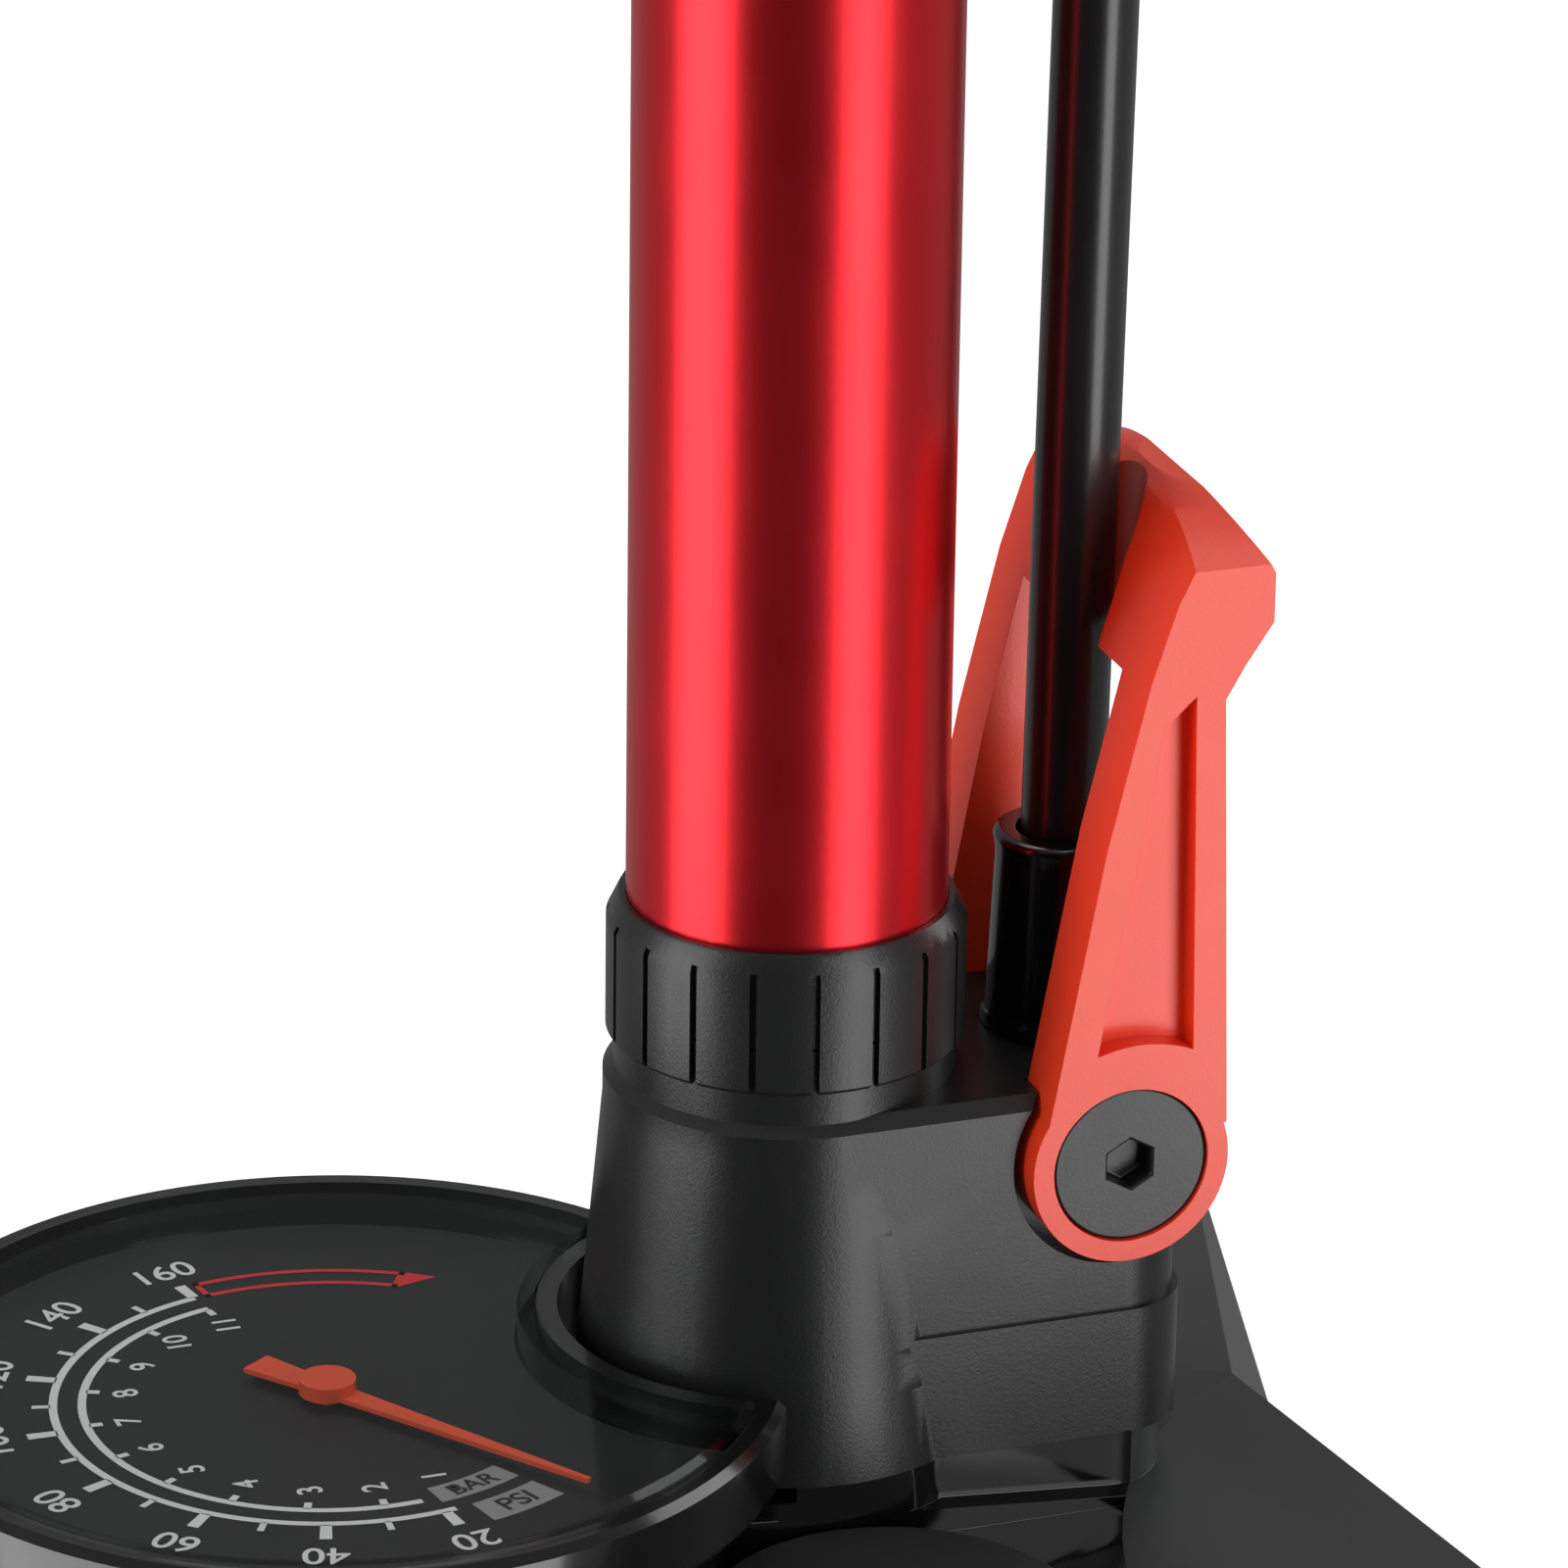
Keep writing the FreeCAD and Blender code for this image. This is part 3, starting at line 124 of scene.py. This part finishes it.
def baseFinish():
    """Glossy black, with satin wings whose edge on the plan is an arc on each side; the wings' lighter base
    colour is a painted reflection of a light panel.
    """
    made = finish("base", (0.003, 0.003, 0.0035), 0.14, coat=0.2)
    tree = made.node_tree
    shader = tree.nodes["Principled BSDF"]
    place = tree.nodes.new("ShaderNodeTexCoord")
    split = tree.nodes.new("ShaderNodeSeparateXYZ")
    link(tree, place.outputs["Object"], split.inputs["Vector"])
    side = tree.nodes.new("ShaderNodeMath")
    side.operation = "ABSOLUTE"
    link(tree, split.outputs["Y"], side.inputs[0])
    flat = tree.nodes.new("ShaderNodeCombineXYZ")
    link(tree, split.outputs["X"], flat.inputs["X"])
    link(tree, side.outputs["Value"], flat.inputs["Y"])
    reach = tree.nodes.new("ShaderNodeVectorMath")
    reach.operation = "DISTANCE"
    reach.inputs[1].default_value = (0.085, 0.050, 0.0)
    link(tree, flat.outputs["Vector"], reach.inputs[0])
    wing = tree.nodes.new("ShaderNodeMath")
    wing.operation = "LESS_THAN"
    wing.inputs[1].default_value = 0.056
    link(tree, reach.outputs["Value"], wing.inputs[0])
    # Painted reflection: the wings get a lighter base colour that stands in for the light panel they
    # reflect; the roughness and coat changes below are the satin finish.
    painted_reflection_tint = tree.nodes.new("ShaderNodeMix")
    painted_reflection_tint.data_type = "RGBA"
    painted_reflection_tint.inputs[6].default_value = (0.003, 0.003, 0.0035, 1)
    painted_reflection_tint.inputs[7].default_value = (0.022, 0.023, 0.024, 1)
    link(tree, wing.outputs["Value"], painted_reflection_tint.inputs[0])
    link(tree, painted_reflection_tint.outputs[2], shader.inputs["Base Color"])
    sheen = tree.nodes.new("ShaderNodeMapRange")
    sheen.inputs["To Min"].default_value = 0.14
    sheen.inputs["To Max"].default_value = 0.42
    link(tree, wing.outputs["Value"], sheen.inputs["Value"])
    link(tree, sheen.outputs["Result"], shader.inputs["Roughness"])
    coat = tree.nodes.new("ShaderNodeMapRange")
    coat.inputs["To Min"].default_value = 0.2
    coat.inputs["To Max"].default_value = 0.0
    link(tree, wing.outputs["Value"], coat.inputs["Value"])
    link(tree, coat.outputs["Result"], shader.inputs["Coat Weight"])
    return made


def lensFinish():
    """Clear plastic: see-through face on, bright where it is seen edge on."""
    made = bpy.data.materials.new("lens")
    made.use_nodes = True
    tree = made.node_tree
    tree.nodes.remove(tree.nodes["Principled BSDF"])
    clear = tree.nodes.new("ShaderNodeBsdfTransparent")
    clear.inputs["Color"].default_value = (0.94, 0.95, 0.95, 1)
    shine = tree.nodes.new("ShaderNodeBsdfAnisotropic")
    shine.inputs["Color"].default_value = (0.9, 0.92, 0.93, 1)
    shine.inputs["Roughness"].default_value = 0.06
    facing = tree.nodes.new("ShaderNodeLayerWeight")
    facing.inputs["Blend"].default_value = 0.5
    rise = tree.nodes.new("ShaderNodeMapRange")
    rise.inputs["From Min"].default_value = 0.66
    rise.inputs["To Min"].default_value = 0.03
    rise.inputs["To Max"].default_value = 0.95
    link(tree, facing.outputs["Facing"], rise.inputs["Value"])
    cloud = tree.nodes.new("ShaderNodeTexNoise")
    cloud.inputs["Scale"].default_value = 40.0
    place = tree.nodes.new("ShaderNodeTexCoord")
    link(tree, place.outputs["Object"], cloud.inputs["Vector"])
    haze = tree.nodes.new("ShaderNodeMapRange")
    haze.inputs["To Min"].default_value = 0.04
    haze.inputs["To Max"].default_value = 0.09
    link(tree, cloud.outputs["Fac"], haze.inputs["Value"])
    link(tree, haze.outputs["Result"], shine.inputs["Roughness"])
    blend = tree.nodes.new("ShaderNodeMixShader")
    link(tree, rise.outputs["Result"], blend.inputs["Fac"])
    link(tree, clear.outputs["BSDF"], blend.inputs[1])
    link(tree, shine.outputs["BSDF"], blend.inputs[2])
    link(tree, blend.outputs["Shader"], tree.nodes["Material Output"].inputs["Surface"])
    return made


finishes = {
    "gloss_black": finish("glossBlack", (0.004, 0.004, 0.0045), 0.16, coat=0.3),
    "satin_black": finish("satinBlack", (0.03, 0.03, 0.032), 0.45, grain=0.25),
    "charcoal": finish("charcoal", (0.010, 0.0103, 0.0106), 0.33, grain=0.14, grainScale=2600.0),
    "red_anodised": finish("redAnodised", (0.72, 0.022, 0.030), 0.30, metal=0.9, grain=0.03),
    "orange_red": finish("orangeRed", (0.86, 0.050, 0.014), 0.34, coat=0.1, grain=0.12, grainScale=2600.0),
    "black_rubber": finish("blackRubber", (0.014, 0.014, 0.014), 0.6, grain=0.2),
    "hose_rubber": finish("hoseRubber", (0.010, 0.010, 0.011), 0.3, coat=0.2, grain=0.1),
    "steel": finish("steel", (0.55, 0.55, 0.57), 0.3, metal=1.0, grain=0.05),
    "chrome_rod": finish("chromeRod", (0.8, 0.8, 0.82), 0.08, metal=1.0),
    "brass": finish("brass", (0.7, 0.5, 0.2), 0.3, metal=1.0, grain=0.05),
    "lens": lensFinish(),
    "dial_print": finish("dialFace", (0.002, 0.002, 0.002), 0.6),
    "needle_orange": finish("needleOrange", (0.9, 0.09, 0.02), 0.4),
    "bare_aluminium": finish("bareAluminium", (0.7, 0.7, 0.72), 0.3, metal=1.0, grain=0.05),
}
paleInk = finish("paleInk", (0.8, 0.8, 0.8), 0.6)
greyInk = finish("greyInk", (0.3, 0.3, 0.3), 0.6)
redInk = finish("redInk", (0.75, 0.015, 0.02), 0.5)
print("materials ready")

# CAD pieces in their finishes, with softened edges where they are seen -----------------------------------

edgeWidths = {
    "base": 0.0008,
    "valve_block": 0.0007,
    "collar_nut": 0.0002,
    "selector_lever": 0.0014,
    "gauge_case": 0.0005,
    "hose_ferrule": 0.0004,
    "cap_screw_left": 0.0004,
    "cap_screw_right": 0.0004,
    "barrel": 0.0002,
    "step_pad_left": 0.0003,
    "step_pad_right": 0.0003,
    "top_cap": 0.0006,
    "rod_bush": 0.0003,
    "handle_hub": 0.0008,
    "grip_left": 0.0010,
    "grip_right": 0.0010,
    "bumper": 0.0006,
    "hose_guide": 0.0005,
    "head_dock": 0.0005,
    "pump_head": 0.0006,
    "chuck_knob": 0.0006,
    "head_latch": 0.0006,
    "check_spring": 0.00003,
}


def dress(node, width, smooth=34):
    """Copy of a CAD node with joined faces, rounded edges and smooth shading."""
    source = nodes[node]
    made = source.copy()
    made.data = source.data.copy()
    made.name = f"{node}Shown"
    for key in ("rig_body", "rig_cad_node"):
        del made[key]
    made.parent = None
    made.matrix_world = Matrix.Identity(4)
    bpy.context.scene.collection.objects.link(made)
    only(made)
    bpy.ops.object.mode_set(mode="EDIT")
    bpy.ops.mesh.select_all(action="SELECT")
    bpy.ops.mesh.remove_doubles(threshold=0.000002)
    bpy.ops.mesh.dissolve_limited(angle_limit=math.radians(1.0))
    bpy.ops.object.mode_set(mode="OBJECT")
    soft = made.modifiers.new("softEdges", "BEVEL")
    soft.width = width
    soft.segments = 2
    soft.limit_method = "ANGLE"
    soft.angle_limit = math.radians(smooth)
    soft.harden_normals = False
    bpy.ops.object.modifier_apply(modifier="softEdges")
    bpy.ops.object.shade_smooth_by_angle(angle=math.radians(smooth))
    even = made.modifiers.new("evenShading", "WEIGHTED_NORMAL")
    even.keep_sharp = True
    bpy.ops.object.modifier_apply(modifier="evenShading")
    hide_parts(node)
    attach(made, bodyOf[node])
    return made


def wear(thing, material):
    thing.data.materials.clear()
    thing.data.materials.append(material)


shown = {}
for node, thing in nodes.items():
    material = baseFinish() if node == "base" else finishes[slotOf[node]]
    wear(thing, material)
    if node in edgeWidths:
        shown[node] = dress(node, edgeWidths[node], 50 if node == "selector_lever" else 34)
        wear(shown[node], material)
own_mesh(shown["check_spring"])
print("CAD pieces dressed")

# Hose -----------------------------------------------------------------------------------------------------

hoseRoute = [
    (0.0345, 0.0, 0.0925),
    (0.0361, 0.0, 0.214),
    (0.0386, 0.001, 0.340),
    (0.0409, 0.0004, 0.452),
    (0.0414, -0.0004, 0.520),
    (0.0415, 0.0012, 0.586),
    (0.0410, 0.0224, 0.615),
    (0.0400, 0.0566, 0.626),
    (0.0385, 0.0908, 0.615),
    (0.0360, 0.1120, 0.586),
    (0.0310, 0.1145, 0.544),
    (0.0205, 0.1030, 0.484),
    (0.0090, 0.0740, 0.432),
    (0.0018, 0.0465, 0.391),
    (0.0, 0.0404, 0.357),
    (0.0, 0.0400, 0.3305),
]
line = bpy.data.curves.new("hoseLine", "CURVE")
line.dimensions = "3D"
spline = line.splines.new("NURBS")
spline.points.add(len(hoseRoute) - 1)
for point, spot in zip(spline.points, hoseRoute):
    point.co = (*spot, 1)
spline.order_u = 3
spline.use_endpoint_u = True
line.resolution_u = 12
line.bevel_depth = 0.005
line.bevel_resolution = 8
line.use_fill_caps = True
hose = bpy.data.objects.new("hoseShown", line)
bpy.context.scene.collection.objects.link(hose)
line.materials.append(finishes["hose_rubber"])
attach(hose, "pump")
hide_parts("hose")
print("hose laid")

# Dial print -----------------------------------------------------------------------------------------------

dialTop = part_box("gauge_dial")[1].z
centre = Vector((-0.05675, 0.0, dialTop))
zeroAngle = -57.0
degreesPerPsi = 1.25
printed = {"pale": [], "grey": [], "red": [], "dark": []}


def spot(radius, angle, lift=0.0):
    turn = math.radians(angle)
    return centre + Vector((radius * math.cos(turn), radius * math.sin(turn), lift))


def arc(inner, outer, start, end, ink, lift=0.00006, outerEnd=None):
    """Flat band round the dial's centre; outerEnd makes its last end slanted."""
    steps = max(8, int(abs(end - start)))
    bpy.ops.object.select_all(action="DESELECT")
    bpy.ops.mesh.primitive_grid_add(x_subdivisions=steps, y_subdivisions=1, size=1)
    band = bpy.context.object
    for vertex in band.data.vertices:
        along, across = vertex.co.x + 0.5, vertex.co.y + 0.5
        stop = end if outerEnd is None else end + (outerEnd - end) * across
        vertex.co = spot(inner + (outer - inner) * across, start + (stop - start) * along, lift)
    printed[ink].append(band)


def tick(inner, outer, angle, width, ink, lift=0.00006):
    turn = math.degrees(width / 2 / ((inner + outer) / 2))
    arc(inner, outer, angle - turn, angle + turn, ink, lift)


def words(text, radius, angle, size, ink, turn=90.0, lift=0.00006):
    bpy.ops.object.select_all(action="DESELECT")
    bpy.ops.object.text_add(location=spot(radius, angle, lift), rotation=(0, 0, math.radians(turn)))
    made = bpy.context.object
    made.data.body = text
    made.data.size = size
    made.data.align_x = "CENTER"
    made.data.align_y = "CENTER"
    made.data.offset = 0.00006
    bpy.ops.object.convert(target="MESH")
    bpy.ops.object.transform_apply(location=True, rotation=True, scale=True)
    printed[ink].append(bpy.context.object)


def angleOf(psi):
    return zeroAngle - degreesPerPsi * psi


arc(0.0318, 0.0328, angleOf(18), angleOf(160), "pale")
arc(0.0284, 0.0294, angleOf(22), angleOf(160), "pale")
for psi in range(20, 170, 10):
    even = psi % 20 == 0
    tick(0.0326, 0.0362 if even else 0.0348, angleOf(psi), 0.0014 if even else 0.0008, "pale")
    if even:
        words(str(psi), 0.0402, angleOf(psi), 0.0056, "pale", angleOf(psi) - 90)
for bar in range(1, 12):
    tick(0.0270, 0.0286, angleOf(bar * 14.5038), 0.0009, "pale")
    words(str(bar), 0.0238, angleOf(bar * 14.5038), 0.0042, "pale")
arc(0.0322, 0.0372, angleOf(2), angleOf(15), "grey")
arc(0.0262, 0.0302, angleOf(2), angleOf(19), "grey")
words("PSI", 0.0347, angleOf(8.5), 0.0042, "dark", angleOf(8.5) + 90, 0.0001)
words("BAR", 0.0282, angleOf(10.5), 0.0036, "dark", angleOf(10.5) + 90, 0.0001)
for inner, outer in ((0.0318, 0.0326), (0.0352, 0.0360)):
    arc(inner, outer, angleOf(162), angleOf(196), "red")
arc(0.0318, 0.0360, angleOf(195), angleOf(196), "red", outerEnd=angleOf(201))
arc(0.0318, 0.0360, angleOf(162), angleOf(163), "red")
inks = {"pale": paleInk, "grey": greyInk, "red": redInk, "dark": finishes["dial_print"]}
for ink, pieces in printed.items():
    bpy.ops.object.select_all(action="DESELECT")
    for piece in pieces:
        piece.select_set(True)
    bpy.context.view_layer.objects.active = pieces[0]
    bpy.ops.object.join()
    whole = bpy.context.object
    whole.name = f"dial{ink.capitalize()}"
    bpy.ops.object.transform_apply(location=True, rotation=True, scale=True)
    wear(whole, inks[ink])
    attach(whole, "pump")
print("dial printed")

# Needle hub -----------------------------------------------------------------------------------------------

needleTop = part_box("gauge_needle")[1].z
bpy.ops.object.select_all(action="DESELECT")
bpy.ops.mesh.primitive_cylinder_add(
    vertices=48, radius=0.0029, depth=0.0004, location=(centre.x, centre.y, needleTop - 0.00021)
)
hub = bpy.context.object
hub.name = "needleHubDisc"
rim = hub.modifiers.new("rim", "BEVEL")
rim.width = 0.0001
rim.segments = 2
bpy.ops.object.modifier_apply(modifier="rim")
bpy.ops.object.transform_apply(location=True, rotation=True, scale=True)
wear(hub, finishes["chrome_rod"])
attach(hub, "needle")
print("needle ready")

# Floor, light and camera ----------------------------------------------------------------------------------

bpy.ops.mesh.primitive_plane_add(size=14, location=(0, 0, -0.0003))
floor = bpy.context.object
floor.name = "floor"
wear(floor, finish("floorPale", (0.86, 0.86, 0.86), 0.9, mottle=0.02))
glow = floor.data.materials[0].node_tree.nodes["Principled BSDF"]
glow.inputs["Emission Color"].default_value = (1, 1, 1, 1)
glow.inputs["Emission Strength"].default_value = 0.45
floor.visible_glossy = False
floor.visible_shadow = False
floor.visible_diffuse = False

world = bpy.data.worlds.new("studio")
bpy.context.scene.world = world
world.use_nodes = True
tree = world.node_tree
back = tree.nodes["Background"]
back.inputs["Color"].default_value = (1, 1, 1, 1)
path = tree.nodes.new("ShaderNodeLightPath")
sky = tree.nodes.new("ShaderNodeTexCoord")
card = tree.nodes.new("ShaderNodeVectorMath")
card.operation = "DOT_PRODUCT"
card.inputs[1].default_value = (-0.46, -0.888, 0.0)
link(tree, sky.outputs["Generated"], card.inputs[0])
band = tree.nodes.new("ShaderNodeMapRange")
band.inputs["From Min"].default_value = 0.62
band.inputs["From Max"].default_value = 0.86
band.inputs["To Min"].default_value = 0.26
band.inputs["To Max"].default_value = 0.01
link(tree, card.outputs["Value"], band.inputs["Value"])
level = tree.nodes.new("ShaderNodeMix")
level.data_type = "FLOAT"
level.inputs[2].default_value = 0.26
link(tree, path.outputs["Is Glossy Ray"], level.inputs[0])
link(tree, band.outputs["Result"], level.inputs[3])
bright = tree.nodes.new("ShaderNodeMath")
bright.operation = "MAXIMUM"
link(tree, level.outputs[0], bright.inputs[0])
link(tree, path.outputs["Is Camera Ray"], bright.inputs[1])
link(tree, bright.outputs["Value"], back.inputs["Strength"])


def lamp(name, spotFrom, aim, width, height, watts):
    light = bpy.data.lights.new(name, "AREA")
    light.shape = "RECTANGLE"
    light.size = width
    light.size_y = height
    light.energy = watts
    made = bpy.data.objects.new(name, light)
    bpy.context.scene.collection.objects.link(made)
    made.location = spotFrom
    made.rotation_euler = (Vector(aim) - Vector(spotFrom)).to_track_quat("-Z", "Y").to_euler()
    return made


lamp("leftStrip", (-1.55, -0.1, -0.1), (0, 0, 0), 1.1, 2.8, 34)
lamp("rightStrip", (0.72, -1.42, -0.1), (0, 0, 0), 0.75, 2.8, 26)
lamp("overhead", (0.1, 0.5, 2.2), (0, 0, 0), 1.6, 1.6, 16)
lamp("rightFill", (1.5, 0.1, 0.6), (0, 0, 0.1), 0.8, 1.2, 8)

camera = bpy.data.objects.new("camera", bpy.data.cameras.new("camera"))
bpy.context.scene.collection.objects.link(camera)
bpy.context.scene.camera = camera
camera.data.sensor_width = 36.0
camera.data.lens = 199.06
camera.data.clip_start = 0.02
camera.data.clip_end = 30.0
swing, tilt, roll = math.radians(-19.82), math.radians(22.05), math.radians(0.79)
ahead = Vector((-math.sin(swing) * math.cos(tilt), math.cos(swing) * math.cos(tilt), -math.sin(tilt)))
across = Vector((math.cos(swing), math.sin(swing), 0))
upward = across.cross(ahead)
right = across * math.cos(roll) + upward * math.sin(roll)
top = upward * math.cos(roll) - across * math.sin(roll)
turn = Matrix((right, top, -ahead)).transposed()
camera.rotation_euler = turn.to_euler()
camera.location = (-0.31922, -0.88416, 0.49404)

bpy.context.scene.view_settings.view_transform = "Standard"
